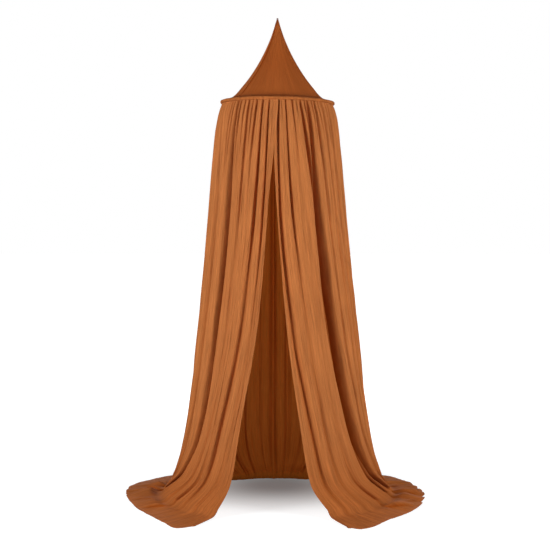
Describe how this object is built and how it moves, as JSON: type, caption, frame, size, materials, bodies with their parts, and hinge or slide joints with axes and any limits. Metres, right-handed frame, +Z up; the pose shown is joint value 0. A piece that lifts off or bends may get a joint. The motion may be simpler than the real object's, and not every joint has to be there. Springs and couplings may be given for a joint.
{
  "type": "mosquito net canopy with hoop",
  "caption": "Hanging cone-top canopy of opaque crinkled muslin on a cased hoop, its gathered skirt open in front and pooling on the floor.",
  "frame": {"origin": "where a ceiling hook bears, under the top of the hanging loop", "axes": "+Z up along the hanging axis, -Y towards the open front, +X to the right as seen from the front"},
  "size_m": [1.3583, 1.3567, 2.1449],
  "materials": {
    "muslin": "matt crinkled cotton muslin, rust brown",
    "hoop_rod": "plain plastic rod, hidden in its casing",
    "cord": "dark brown twisted cotton cord"
  },
  "bodies": {
    "root": {"roof_gore_front": "muslin", "roof_gore_back": "muslin", "hoop_casing": "muslin", "skirt_right": "muslin", "skirt_back": "muslin", "skirt_left": "muslin", "hoop": "hoop_rod", "hanging_loop": "cord"}
  },
  "joints": []
}
